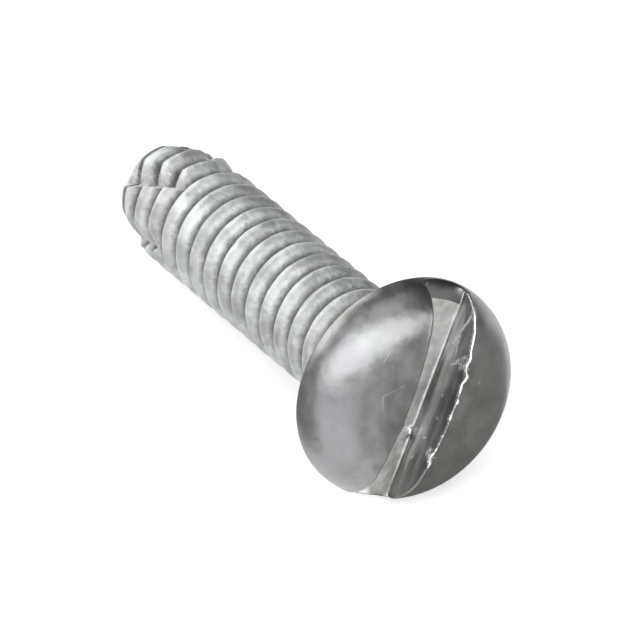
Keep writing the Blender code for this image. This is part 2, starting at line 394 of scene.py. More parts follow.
class ScrewFinish(PropertyGroup):
    """Colours and gloss of the zinc plate."""

    head_colour: FloatVectorProperty(
        name="Head",
        description="Colour of the plate on the head",
        subtype="COLOR",
        default=(0.292, 0.298, 0.299),
        min=0.0,
        max=1.0,
    )
    thread_colour: FloatVectorProperty(
        name="Thread",
        description="Colour of the paler plate on the thread",
        subtype="COLOR",
        default=(0.487, 0.515, 0.507),
        min=0.0,
        max=1.0,
    )
    haze_colour: FloatVectorProperty(
        name="Thread haze",
        description="Colour of the faint violet clouds on the thread",
        subtype="COLOR",
        default=(0.496, 0.475, 0.496),
        min=0.0,
        max=1.0,
    )
    # Painted shade: colour that darkens the thread towards its roots
    root_shade_colour: FloatVectorProperty(
        name="Thread roots",
        description="Colour of the dull plate in the roots of the thread",
        subtype="COLOR",
        default=(0.18, 0.183, 0.18),
        min=0.0,
        max=1.0,
    )
    slot_colour: FloatVectorProperty(
        name="Slot",
        description="Colour of the pressed metal in the slot",
        subtype="COLOR",
        default=(0.76, 0.765, 0.755),
        min=0.0,
        max=1.0,
    )
    film_colour: FloatVectorProperty(
        name="Film",
        description="Colour of the bluish film that lies in clouds on the head",
        subtype="COLOR",
        default=(0.287, 0.283, 0.31),
        min=0.0,
        max=1.0,
    )
    # Painted shade: colour that darkens the head's rim towards its bearing face
    rim_shade_colour: FloatVectorProperty(
        name="Rim",
        description="Colour of the dull plate round the rim of the head",
        subtype="COLOR",
        default=(0.125, 0.125, 0.11),
        min=0.0,
        max=1.0,
    )
    # Painted shade: colour that darkens the slot's walls, more towards the lip; also the colour of the dirt
    # in the slot
    wall_shade_and_dirt_colour: FloatVectorProperty(
        name="Slot walls",
        description="Colour of the scraped walls of the slot",
        subtype="COLOR",
        default=(0.13, 0.13, 0.13),
        min=0.0,
        max=1.0,
    )
    stain_colour: FloatVectorProperty(
        name="Stain",
        description="Colour of the dull clouds on the plate",
        subtype="COLOR",
        default=(0.2, 0.2, 0.185),
        min=0.0,
        max=1.0,
    )
    bare_colour: FloatVectorProperty(
        name="Bare metal",
        description="Colour of the metal that wear has bared",
        subtype="COLOR",
        default=(0.86, 0.87, 0.88),
        min=0.0,
        max=1.0,
    )
    head_roughness: FloatProperty(
        name="Head roughness",
        description="Roughness of the plate on the head",
        subtype="FACTOR",
        default=0.36,
        min=0.0,
        max=1.0,
    )
    thread_roughness: FloatProperty(
        name="Thread roughness",
        description="Roughness of the plate on the thread",
        subtype="FACTOR",
        default=0.57,
        min=0.0,
        max=1.0,
    )
    slot_roughness: FloatProperty(
        name="Slot roughness",
        description="Roughness of the plate in the slot",
        subtype="FACTOR",
        default=0.42,
        min=0.0,
        max=1.0,
    )
    bare_roughness: FloatProperty(
        name="Bare roughness",
        description="Roughness of the bared metal",
        subtype="FACTOR",
        default=0.3,
        min=0.0,
        max=1.0,
    )


class StageSettings(PropertyGroup):
    """Floor, lights and camera."""

    floor_colour: FloatVectorProperty(
        name="Floor",
        description="Colour of the floor",
        subtype="COLOR",
        default=(0.62, 0.62, 0.62),
        min=0.0,
        max=1.0,
    )
    floor_glow: FloatProperty(
        name="Floor glow",
        description="White that the camera and reflections see on the floor besides its own shade",
        default=0.5,
        subtype="FACTOR",
        min=0.0,
        max=1.0,
    )
    floor_size: FloatProperty(
        name="Floor size",
        description="Width of the floor",
        default=1.2,
        unit="LENGTH",
    )
    card_colour: FloatVectorProperty(
        name="Card",
        description="Colour of the grey cards beside the screw",
        subtype="COLOR",
        default=(0.345, 0.335, 0.305),
        min=0.0,
        max=1.0,
    )
    card_width: FloatProperty(
        name="Card width",
        description="Width of the grey cards beside the screw",
        default=0.06,
        unit="LENGTH",
    )
    world_strength: FloatProperty(
        name="Room light",
        description="Strength of the light from all round",
        default=0.62,
        min=0.0,
    )
    key_power: FloatProperty(
        name="Key light",
        description="Power of the large soft light over the near side of the head",
        default=2.95,
        unit="POWER",
        min=0.0,
    )
    top_power: FloatProperty(
        name="Top light",
        description="Power of the weak soft light overhead",
        default=0.14,
        unit="POWER",
        min=0.0,
    )
    point_power: FloatProperty(
        name="Point light",
        description="Power of the soft light on the point's side",
        default=1.3,
        unit="POWER",
        min=0.0,
    )
    camera_azimuth: FloatProperty(
        name="Camera azimuth",
        description="Turn of the camera round the screw",
        default=math.radians(59.98),
        unit="ROTATION",
    )
    camera_elevation: FloatProperty(
        name="Camera elevation",
        description="Angle of the camera above the floor",
        default=math.radians(37.27),
        unit="ROTATION",
    )
    camera_distance: FloatProperty(
        name="Camera distance",
        description="Distance of the camera from the point it aims at",
        default=0.38724,
        unit="LENGTH",
        precision=4,
    )
    camera_aim: FloatVectorProperty(
        name="Camera aim",
        description="Point at the middle of the picture",
        subtype="TRANSLATION",
        unit="LENGTH",
        default=(0.00370205, -0.0013308, 0.00464158),
        precision=5,
    )
    camera_lens: FloatProperty(
        name="Camera lens",
        description="Focal length of the camera in millimetres",
        default=789.65,
        min=1.0,
    )


def smooth_step(value):
    """Ease from 0 to 1 as the value goes from 0 to 1."""
    value = min(max(value, 0.0), 1.0)
    return value * value * (3.0 - 2.0 * value)


def mix(first, second, share):
    """Go from the first value to the second by the share."""
    return first + (second - first) * share


def near(distance, reach):
    """Fall from 1 to 0 with distance, over about the reach."""
    return math.exp(-((distance / reach) ** 2))


def unevenness(point, grain, height):
    """Small shift of a surface point, with features about as large as the grain."""
    return height * noise.noise(Vector(point) / grain)


class Thread:
    """The threaded shank with its fluted point, from the sizes."""

    def __init__(self, size):
        self.size = size
        self.crest = size.thread_diameter / 2.0
        sharp = size.thread_pitch / 2.0 / math.tan(FLANK_ANGLE)
        self.height = sharp - size.crest_radius * (1.0 / math.sin(FLANK_ANGLE) - 1.0)
        self.root = self.crest - self.height
        self.spacing = 2.0 * math.pi / size.flute_count
        self.per_flute = FLOOR_COLUMNS + 1 + LAND_COLUMNS
        self.columns = size.flute_count * self.per_flute

    def form(self):
        """Places along one pitch, each with its share of the thread's height."""
        radius = self.size.crest_radius
        reach = math.pi / 2.0 - FLANK_ANGLE
        arc = []
        for step in range(CREST_STEPS + 1):
            lean = mix(-reach, reach, step / CREST_STEPS)
            drop = radius * (1.0 - math.cos(lean))
            place = radius * math.sin(lean) / self.size.thread_pitch
            arc.append((place, 1.0 - drop / self.height))
        first = arc[0]
        before = [(mix(-0.5, first[0], share), share * first[1]) for share in FLANK_SHARES]
        after = [(-place, share) for place, share in reversed(before)]
        return [(-0.5, ROOT_SHARE)] + before + arc + after

    def progress(self, depth):
        """How far along the flutes a depth lies."""
        length = self.size.flute_length
        return min(max((depth - self.size.shank_length + length) / length, 0.0), 1.0)

    def edges(self, progress):
        """Angles of a flute's rear edge, the foot of its cutting face and its cutting edge."""
        cutting = FLUTE_SLANT * progress
        rear = cutting - mix(FLUTE_WIDTH_START, FLUTE_WIDTH_END, progress)
        return rear, cutting - CUTTING_FACE_WIDTH, cutting

    def flute_share(self, angle, depth):
        """How fully a flute shapes the surface."""
        progress = self.progress(depth)
        rear, foot, cutting = self.edges(progress)
        place = (angle - FLUTE_ANGLE - rear) % self.spacing + rear
        if place <= foot:
            share = (place - rear) / (foot - rear)
        else:
            share = max((cutting - place) / (cutting - foot), 0.0)
        return share * progress**FLUTE_RISE

    def dragged(self, angle, depth):
        """Angle and depth of a place on a ridge after the flute's die has dragged it towards the head."""
        drawn = depth - FLUTE_DRAG * self.flute_share(angle, depth)
        return angle + FLUTE_SLANT * (self.progress(drawn) - self.progress(depth)), drawn

    def radius(self, angle, depth, share):
        """Radius of the surface at an angle and a depth, for a share of the thread's height."""
        size = self.size
        core = size.neck_diameter / 2.0 - CORE_CLEARANCE
        formed = smooth_step((depth - size.neck_length) / RUNOUT_LENGTH)
        radius = mix(core, mix(self.root, self.crest, share), formed)
        taper = max((depth - size.shank_length + size.point_length) / size.point_length, 0.0)
        radius = min(radius, mix(self.crest, size.point_diameter / 2.0, taper))
        floor = size.flute_floor_diameter / 2.0 + FLUTE_FLOOR_THREAD * (radius - self.root)
        return mix(radius, floor, self.flute_share(angle, depth))

    def column_angle(self, column, depth):
        """Angle of a column of vertices, led along the flutes on the point."""
        flute, place = divmod(column, self.per_flute)
        rear, foot, cutting = self.edges(self.progress(depth))
        if place <= FLOOR_COLUMNS:
            led = mix(rear, foot, place / FLOOR_COLUMNS)
        else:
            led = mix(cutting, rear + self.spacing, (place - FLOOR_COLUMNS - 1) / LAND_COLUMNS)
        even = mix(rear, rear + self.spacing, place / self.per_flute)
        before = self.size.shank_length - self.size.flute_length - depth
        share = smooth_step(1.0 - before / (RESHAPING_PITCHES * self.size.thread_pitch))
        return FLUTE_ANGLE + flute * self.spacing + mix(even, led, share)


def add_shank(mesh, size):
    """Wrap the thread round the shank as one helical skin, and close the end of the point."""
    thread = Thread(size)
    crown_layer = mesh.verts.layers.float["crest"]
    pressed_layer = mesh.verts.layers.float["pressed"]
    pitch = size.thread_pitch
    form = thread.form()
    per_turn = len(form)
    made = []
    rows = []
    last_turn = math.ceil(size.shank_length / pitch) + SPARE_TURNS
    for turn in range(-SPARE_TURNS, last_turn + 1):
        for place, share in form:
            row = []
            for column in range(thread.columns):
                turns = turn + place + THREAD_START_TURN
                angle = thread.column_angle(column, (turns - column / thread.columns) * pitch)
                depth = (turns - angle / (2.0 * math.pi)) * pitch
                angle, depth = thread.dragged(angle, depth)
                radius = thread.radius(angle, depth, share)
                point = Vector((radius * math.cos(angle), radius * math.sin(angle), -depth))
                lift = unevenness(point, SHANK_GRAIN, size.roughness_height)
                scale = 1.0 + lift / radius
                vert = mesh.verts.new((point.x * scale, point.y * scale, point.z))
                pressed = thread.flute_share(angle, depth)
                shade = max(share, FLUTE_SHADE * pressed)
                past = depth - size.shank_length + size.flute_length
                on_point = smooth_step(past / size.point_length)
                # The crest share drives the painted shade in the thread's roots
                vert[crown_layer] = mix((radius - thread.root) / thread.height, shade, on_point)
                vert[pressed_layer] = pressed
                row.append(vert)
            rows.append(row)
            made.extend(row)
    for index in range(per_turn, len(rows) - 1):
        upper, lower = rows[index], rows[index + 1]
        for column in range(thread.columns - 1):
            mesh.faces.new((upper[column], lower[column], lower[column + 1], upper[column + 1]))
        next_upper = rows[index - per_turn][0]
        next_lower = rows[index + 1 - per_turn][0]
        mesh.faces.new((upper[-1], lower[-1], next_lower, next_upper))
    bmesh.ops.delete(mesh, geom=[vert for vert in made if not vert.link_faces], context="VERTS")
    trim(mesh, SHANK_OVERLAP, 1.0)
    trim(mesh, -size.shank_length, -1.0)
    add_point_end(mesh, size)


def add_point_end(mesh, size):
    """Close the end of the point with the shallow cup that thread rolling leaves."""
    crown_layer = mesh.verts.layers.float["crest"]
    level = -size.shank_length + LEVEL_TOLERANCE
    ends = [edge for edge in mesh.edges if edge.is_boundary and edge.verts[0].co.z < level]
    filled = bmesh.ops.holes_fill(mesh, edges=ends, sides=0)["faces"]
    rim = list(filled[0].verts)
    bmesh.ops.delete(mesh, geom=filled, context="FACES_ONLY")
    outer = rim
    for scale, lift in END_CUP:
        ring = []
        for vert in rim:
            x, y = scale * vert.co.x, scale * vert.co.y
            rough = abs(unevenness((x, y, 1.0), CUP_GRAIN, 2.0 * size.roughness_height))
            made = mesh.verts.new((x, y, lift * (END_CUP_DEPTH + rough) - size.shank_length))
            made[crown_layer] = END_SHADE
            ring.append(made)
        for index in range(len(rim)):
            beside = (index + 1) % len(rim)
            mesh.faces.new((outer[index], outer[beside], ring[beside], ring[index]))
        outer = ring
    mesh.faces.new(outer)


def trim(mesh, height, direction):
    """Cut off what lies beyond a level plane."""
    geometry = list(mesh.verts) + list(mesh.edges) + list(mesh.faces)
    bmesh.ops.bisect_plane(
        mesh,
        geom=geometry,
        dist=CUT_TOLERANCE,
        plane_co=(0.0, 0.0, height),
        plane_no=(0.0, 0.0, direction),
        clear_outer=True,
    )


class HeadForm:
    """Half section of the head, followed from the middle of the crown down to the neck."""

    def __init__(self, size):
        self.size = size
        self.radius = size.head_diameter / 2.0
        rise = size.head_height - HEAD_SIDE_HEIGHT
        self.corner = min(size.head_corner, CORNER_LIMIT * rise, CORNER_LIMIT * self.radius)
        self.inset = self.radius - self.corner
        square = self.inset**2 + rise**2 - self.corner**2
        self.crown = square / (2.0 * (rise - self.corner))
        self.crown_centre = size.head_height - self.crown
        self.tangent = math.atan2(HEAD_SIDE_HEIGHT - self.crown_centre, self.inset)
        self.crown_length = self.crown * (math.pi / 2.0 - self.tangent)

    def length_at(self, radius):
        """Length along the crown and the corner at which the section has a radius."""
        if radius <= self.crown * math.cos(self.tangent):
            return self.crown * math.asin(radius / self.crown)
        lean = math.acos(min((radius - self.inset) / self.corner, 1.0))
        return self.crown_length + self.corner * (self.tangent - lean)

    def place(self, length):
        """Radius and height of the section at a length along the crown and the corner."""
        if length <= self.crown_length:
            lean = length / self.crown
            return self.crown * math.sin(lean), self.crown_centre + self.crown * math.cos(lean)
        lean = self.tangent - (length - self.crown_length) / self.corner
        height = HEAD_SIDE_HEIGHT + self.corner * math.sin(lean)
        return self.inset + self.corner * math.cos(lean), height

    def corner_place(self, height, share):
        """Radius and height on the corner, a share of the way down from a height to the straight side."""
        lean = mix(math.asin((height - HEAD_SIDE_HEIGHT) / self.corner), 0.0, share)
        level = HEAD_SIDE_HEIGHT + self.corner * math.sin(lean)
        return self.inset + self.corner * math.cos(lean), level

    def below(self):
        """Radius and height of each ring from the straight side, under the head and in to the neck."""
        size = self.size
        neck = size.neck_diameter / 2.0
        rings = []
        edge = HEAD_EDGE_RADIUS
        for step in range(ROUND_STEPS + 1):
            lean = mix(0.0, -math.pi / 2.0, step / ROUND_STEPS)
            rings.append((self.radius - edge + edge * math.cos(lean), edge + edge * math.sin(lean)))
        inner = neck + NECK_FILLET
        for step in range(1, BEARING_RINGS):
            rings.append((mix(self.radius - edge, inner, step / BEARING_RINGS), 0.0))
        for step in range(ROUND_STEPS + 1):
            lean = mix(math.pi / 2.0, math.pi, step / ROUND_STEPS)
            rings.append((inner + NECK_FILLET * math.cos(lean), NECK_FILLET * (math.sin(lean) - 1.0)))
        rings.append((neck, -size.neck_length))
        rings.append((neck - 3.0 * CORE_CLEARANCE, -size.neck_length))
        return rings


def lip_shift(along, side, distance):
    """How far damage moves the metal outward and upward at a place along a lip, and how bare it is, the
    bareness being partly a painted highlight.
    """
    worn = OTHER_WEAR
    if side == WORN_AND_HIGHLIGHT_SIDE:
        worn = mix(LEAST_WEAR, 1.0, smooth_step((along - WEAR_START) / WEAR_REACH))
    uneven = noise.noise(Vector((along / RIDGE_GRAIN, side * SIDE_SHIFT, 0.0)))
    ragged = RIDGE_MEAN + RIDGE_SPREAD * uneven
    at_lip = near(distance, RIDGE_WIDTH)
    outward, upward = 0.0, RIDGE_HEIGHT * worn * ragged * at_lip
    # The bareness is partly a painted highlight along the lip
    bare = mix(LOWER_SHINE, UPPER_SHINE, smooth_step(along / SHINE_REACH)) * worn * at_lip
    for mark in MARKS:
        if mark.side != side:
            continue
        share = near(along - mark.along, mark.reach) * near(distance, MARK_SPREAD * mark.reach)
        outward += mark.outward * share
        upward += mark.upward * share
        bare = max(bare, MARK_SHINE[side] * share)
    return outward, upward, bare


def lip_drop(distance):
    """How far the rounded lip falls below the crown at a distance from the slot's wall."""
    if distance >= LIP_RADIUS:
        return 0.0
    return LIP_RADIUS - math.sqrt(LIP_RADIUS**2 - (LIP_RADIUS - max(distance, 0.0)) ** 2)


def add_head(mesh, size):
    """Build the pan head with its slot, in quads that follow the slot's lips and the head's rim."""
    form = HeadForm(size)
    half = size.slot_width / 2.0
    floor = size.head_height - size.slot_depth
    rim = form.corner_place(floor, 0.0)[0]
    reach = math.sqrt(rim**2 - half**2)
    start = math.asin(half / rim)
    turn = Matrix.Rotation(size.slot_angle, 3, "Z")
    bare_layer = mesh.verts.layers.float["bare"]
    wall_layer = mesh.verts.layers.float["wall"]
    slot_faces = []

    def vertex(x, y, z, bare=0.0, wall=0.0):
        """Add a vertex, turned with the slot."""
        made = mesh.verts.new(turn @ Vector((x, y, z)))
        made[bare_layer] = bare
        made[wall_layer] = wall
        return made

    def face(corners, store=None):
        """Add a face, without the corners that fall on one vertex."""
        distinct = list(dict.fromkeys(corners))
        if len(distinct) > 2:
            made = mesh.faces.new(distinct)
            if store is not None:
                store.append(made)

    caps, walls = {}, {}
    for side in (1, -1):
        cap, wall = [], []
        for column in range(CAP_COLUMNS + 1):
            share = column / CAP_COLUMNS
            along = mix(reach, -reach, share)
            swing = mix(start, math.pi - start, share)
            chord_angle = math.atan2(half, along)
            chord_length = form.length_at(math.hypot(half, along))
            chord = Vector((math.cos(chord_angle), math.sin(chord_angle))) * chord_length
            arc = Vector((math.cos(swing), math.sin(swing))) * form.length_at(rim)
            if column in (0, CAP_COLUMNS):
                corner = vertex(side * rim * math.cos(swing), side * rim * math.sin(swing), floor)
                cap.append([corner] * (CAP_ROWS + 1))
                wall.append([corner] * (WALL_ROWS + 1))
                continue
            column_verts = []
            for row in range(CAP_ROWS + 1):
                flat = chord.lerp(arc, (row / CAP_ROWS) ** CAP_CROWDING)
                radius, height = form.place(flat.length)
                x = radius * flat.x / flat.length
                y = radius * flat.y / flat.length
                outward, upward, bare = lip_shift(side * x, side, y - half)
                upward -= lip_drop(y - half) * min(1.0, (height - floor) / (LIP_FADE * LIP_RADIUS))
                lift = unevenness((side * x, side * y, height), DOME_GRAIN, size.roughness_height)
                if row == CAP_ROWS:
                    outward, upward, lift = 0.0, 0.0, 0.0
                y = side * (y + outward)
                column_verts.append(vertex(side * x, y, height + upward + lift, bare))
            cap.append(column_verts)
            top = column_verts[0].co.z
            down = []
            for row in range(1, WALL_ROWS + 1):
                fall = (1.0 - math.cos(math.pi * row / WALL_ROWS)) / 2.0
                height = mix(top, floor, fall)
                outward, _, bare = lip_shift(side * along, side, top - height)
                lift = unevenness((side * along, side * half, height), WALL_GRAIN, size.roughness_height)
                if row == WALL_ROWS:
                    outward, lift = 0.0, 0.0
                y = side * (half + outward + lift)
                on_wall = 1.0 if row < WALL_ROWS else 0.0
                down.append(vertex(side * along, y, height, bare, on_wall))
            wall.append([column_verts[0]] + down)
        for column in range(CAP_COLUMNS):
            for row in range(CAP_ROWS):
                here, beside = cap[column], cap[column + 1]
                face((here[row], here[row + 1], beside[row + 1], beside[row]))
            for row in range(WALL_ROWS):
                here, beside = wall[column], wall[column + 1]
                face((here[row], beside[row], beside[row + 1], here[row + 1]), slot_faces)
        caps[side], walls[side] = cap, wall

    grid = []
    for column in range(CAP_COLUMNS + 1):
        line = [walls[-1][CAP_COLUMNS - column][WALL_ROWS]]
        for row in range(1, FLOOR_ROWS):
            across = mix(-half, half, row / FLOOR_ROWS)
            end_level = floor - FLOOR_END_DROP * (1.0 - (across / half) ** FLOOR_END_SQUARENESS)
            end_radius = form.corner_place(end_level, 0.0)[0]
            width = math.sqrt(end_radius**2 - across**2)
            along = mix(width, -width, column / CAP_COLUMNS)
            reached = max(1.0 - (width - abs(along)) / FLOOR_END_REACH, 0.0)
            level = mix(floor, end_level, 1.0 - math.sqrt(1.0 - reached**2))
            if column not in (0, CAP_COLUMNS):
                level += unevenness((along, across, 0.0), FLOOR_GRAIN, size.roughness_height)
                beside_groove = along - GROOVE_ALONG - GROOVE_SLANT * across
                level -= GROOVE_DEPTH * near(beside_groove, GROOVE_REACH)
            line.append(vertex(along, across, level))
        line.append(walls[1][column][WALL_ROWS])
        grid.append(line)
    for column in range(CAP_COLUMNS):
        ended = column < UPPER_END_COLUMNS or column >= CAP_COLUMNS - LOWER_END_COLUMNS
        for row in range(FLOOR_ROWS):
            here, beside = grid[column], grid[column + 1]
            corners = (here[row], here[row + 1], beside[row + 1], beside[row])
            face(corners, None if ended else slot_faces)

    ring = [line[CAP_ROWS] for line in caps[1]]
    ring += list(reversed(grid[CAP_COLUMNS][1:-1]))
    ring += [line[CAP_ROWS] for line in caps[-1]]
    ring += grid[0][1:-1]
    bearings = [math.atan2(vert.co.y, vert.co.x) for vert in ring]
    tops = [vert.co.z for vert in ring]
    levels = []
    for step in range(1, CORNER_RINGS + 1):
        levels.append([form.corner_place(top, step / CORNER_RINGS) for top in tops])
    levels += [[level] * len(ring) for level in form.below()]
    upper = ring
    for level in levels:
        lower = []
        for bearing, (radius, height) in zip(bearings, level):
            place = (radius * math.cos(bearing), radius * math.sin(bearing), height)
            lower.append(mesh.verts.new(place))
        for index in range(len(ring)):
            beside = (index + 1) % len(ring)
            mesh.faces.new((upper[index], lower[index], lower[beside], upper[beside]))
        upper = lower

    lips = set()
    for side in (1, -1):
        for column in range(CAP_COLUMNS + 1):
            lips.update(caps[side][column][:LIP_ROWS])
            lips.update(walls[side][column][:LIP_ROWS])
            lips.update(walls[side][column][-FOOT_ROWS:])
    for column in (0, CAP_COLUMNS):
        lips.update(grid[column])
    for _ in range(SMOOTHING_PASSES):
        bmesh.ops.smooth_vert(
            mesh,
            verts=list(lips),
            factor=0.5,
            use_axis_x=True,
            use_axis_y=True,
            use_axis_z=True,
        )
    return slot_faces


def lying_matrix(size):
    """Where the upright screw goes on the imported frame, from the slot's floor in the record."""
    mounts = [entry for entry in frame["record"]["mounts"] if entry["name"] == "slot_floor"]
    if not mounts:
        raise RuntimeError("The packed record has no mount named slot_floor")
    mount = mounts[0]
    axis = Vector(mount["axis"]).normalized()
    side = Vector((0.0, -1.0, 0.0))
    up = side.cross(axis)
    base = Vector(mount["pos_m"]) - axis * (size.head_height - size.slot_depth)
    place = Matrix((up, side, axis)).transposed().to_4x4()
    place.translation = base
    return place


def add_node(tree, kind, **settings):
    """Add a shader node, with its options and the values of its inputs."""
    node = tree.nodes.new(kind)
    for name, value in settings.items():
        if hasattr(node, name):
            setattr(node, name, value)
        else:
            node.inputs[name.replace("_", " ").title()].default_value = value
    return node


def attribute(tree, name):
    """Read a value that the mesh carries at each vertex."""
    return add_node(tree, "ShaderNodeAttribute", attribute_name=name)


def feed(tree, socket, value):
    """Give an input a constant, or link it to an output of another node."""
    if isinstance(value, bpy.types.NodeSocket):
        tree.links.new(value, socket)
    elif socket.type == "RGBA":
        socket.default_value = (*value, 1.0)
    else:
        socket.default_value = value


def spread(tree, value, low, high, at_low=0.0, at_high=1.0):
    """Go from one number to another as a value goes from low to high."""
    node = add_node(
        tree, "ShaderNodeMapRange", from_min=low, from_max=high, to_min=at_low, to_max=at_high
    )
    feed(tree, node.inputs["Value"], value)
    return node.outputs["Result"]


def noise_between(tree, place, grain):
    """Noise stretched so that it fills the range from 0 to 1."""
    texture = add_node(
        tree, "ShaderNodeTexNoise", scale=grain.scale, detail=grain.detail, roughness=NOISE_ROUGHNESS
    )
    feed(tree, texture.inputs["Vector"], place)
    return spread(tree, texture.outputs["Fac"], grain.low, grain.high)


def height_between(tree, place, low, high, at_low, at_high):
    """Go from one number to another as the upright height goes from low to high."""
    parts = add_node(tree, "ShaderNodeSeparateXYZ")
    feed(tree, parts.inputs["Vector"], place)
    return spread(tree, parts.outputs["Z"], low, high, at_low, at_high)


def blend_colours(tree, share, first, second):
    """Mix two colours by a share. Each is either a colour or an output of another node."""
    node = add_node(tree, "ShaderNodeMix", data_type="RGBA")
    feed(tree, node.inputs[0], share)
    feed(tree, node.inputs[6], first)
    feed(tree, node.inputs[7], second)
    return node.outputs[2]


def blend_values(tree, share, first, second):
    """Mix two numbers by a share. Each is either a number or an output of another node."""
    node = add_node(tree, "ShaderNodeMix", data_type="FLOAT")
    feed(tree, node.inputs[0], share)
    feed(tree, node.inputs[2], first)
    feed(tree, node.inputs[3], second)
    return node.outputs[0]


def calculate(tree, operation, first, second):
    """Combine two numbers."""
    node = add_node(tree, "ShaderNodeMath", operation=operation)
    feed(tree, node.inputs[0], first)
    feed(tree, node.inputs[1], second)
    return node.outputs[0]


def combine_vectors(tree, operation, first, second, output="Vector"):
    """Combine two vectors into a vector, or into a number where the output is named Value."""
    node = add_node(tree, "ShaderNodeVectorMath", operation=operation)
    feed(tree, node.inputs[0], first)
    feed(tree, node.inputs[1], second)
    return node.outputs[output]


def scratch_mask(tree, place, scratch):
    """Share that is 1 on the line of a scratch and 0 away from it."""
    line = Vector(scratch.end) - Vector(scratch.start)
    from_start = combine_vectors(tree, "SUBTRACT", place, scratch.start)
    along = combine_vectors(tree, "DOT_PRODUCT", from_start, line / line.length_squared, "Value")
    held = add_node(tree, "ShaderNodeClamp")
    feed(tree, held.inputs["Value"], along)
    nearest = add_node(tree, "ShaderNodeVectorMath", operation="SCALE")
    feed(tree, nearest.inputs[0], line)
    feed(tree, nearest.inputs["Scale"], held.outputs["Result"])
    away = combine_vectors(tree, "DISTANCE", from_start, nearest.outputs["Vector"], "Value")
    return spread(tree, away, 0.0, scratch.width, 1.0, 0.0)


class Plate:
    """One kind of zinc plate, whose colour, gloss and relief are built up layer by layer."""

    def __init__(self, name, colour, roughness, metallic=1.0):
        self.material = bpy.data.materials.new(name)
        self.material.use_nodes = True
        self.tree = self.material.node_tree
        self.shader = self.tree.nodes["Principled BSDF"]
        self.shader.inputs["Metallic"].default_value = metallic
        self.place = attribute(self.tree, "place").outputs["Vector"]
        dark = [channel * (1.0 - COLOUR_STRAY) for channel in colour]
        light = [min(channel * (1.0 + COLOUR_STRAY), 1.0) for channel in colour]
        self.colour = blend_colours(self.tree, self.noise(COLOUR_CLOUDS), dark, light)
        glossy, dull = [roughness * share for share in GLOSS_STRAY]
        self.gloss = blend_values(self.tree, self.noise(GLOSS_CLOUDS), glossy, dull)
        self.relief = None

    def noise(self, grain):
        """Noise that keeps its place on the screw."""
        return noise_between(self.tree, self.place, grain)

    def tint(self, share, colour, strength=1.0):
        """Lay a colour over the plate where the share is 1."""
        if strength < 1.0:
            share = calculate(self.tree, "MULTIPLY", share, strength)
        self.colour = blend_colours(self.tree, share, self.colour, colour)

    def polish(self, share, roughness):
        """Change the roughness where the share is 1."""
        self.gloss = blend_values(self.tree, share, self.gloss, roughness)

    def raise_by(self, height, strength, distance):
        """Add a relief, from the coarse to the fine."""
        bump = add_node(self.tree, "ShaderNodeBump", strength=strength, distance=distance)
        feed(self.tree, bump.inputs["Height"], height)
        if self.relief is not None:
            feed(self.tree, bump.inputs["Normal"], self.relief)
        self.relief = bump.outputs["Normal"]

    def lay_scratches(self, scratches, colour, strength=1.0):
        """Draw scratches and other thin lines, among them a painted highlight, broken up by a fine grain."""
        breaks = calculate(self.tree, "MULTIPLY", self.noise(SCRATCH_BREAKS), strength)
        for scratch in scratches:
            mask = scratch_mask(self.tree, self.place, scratch)
            self.tint(calculate(self.tree, "MULTIPLY", mask, breaks), colour)

    def lay_bare(self, finish):
        """Show the bared metal, which on the slot's lips is partly a painted highlight, with a ragged edge.
        """
        bare = attribute(self.tree, "bare").outputs["Fac"]
        ragged = calculate(self.tree, "MULTIPLY", self.noise(BARE_EDGE), BARE_RAGGED)
        crisp = spread(self.tree, calculate(self.tree, "ADD", bare, ragged), *BARE_EDGE_RANGE)
        self.tint(crisp, finish.bare_colour)
        self.polish(crisp, finish.bare_roughness)

    def finish(self):
        """Connect the layers to the shader."""
        feed(self.tree, self.shader.inputs["Base Color"], self.colour)
        feed(self.tree, self.shader.inputs["Roughness"], self.gloss)
        feed(self.tree, self.shader.inputs["Normal"], self.relief)
        return self.material


def head_plate(finish):
    """Bright plate on the head: cloudy, slightly wavy, with painted shade round the bottom of its rim, with
    scratches, and bare on the slot's lips, partly as a painted highlight.
    """
    plate = Plate("head_plate", finish.head_colour, finish.head_roughness)
    plate.tint(plate.noise(HEAD_STAINS), finish.stain_colour, strength=0.35)
    plate.tint(plate.noise(HEAD_FILM), finish.film_colour, strength=0.45)
    plate.raise_by(plate.noise(HEAD_WAVES), strength=0.75, distance=0.00005)
    plate.raise_by(plate.noise(FINE_GRAIN), strength=0.25, distance=0.000006)
    # Painted shade: the head's plate darkens towards the bearing face
    rim = height_between(plate.tree, plate.place, *RIM_SHADE_LEVELS, RIM_SHADE_STRENGTH, 0.0)
    plate.tint(rim, finish.rim_shade_colour)
    plate.lay_scratches(HEAD_SCRATCHES, finish.bare_colour, strength=0.45)
    plate.lay_bare(finish)
    return plate.finish()


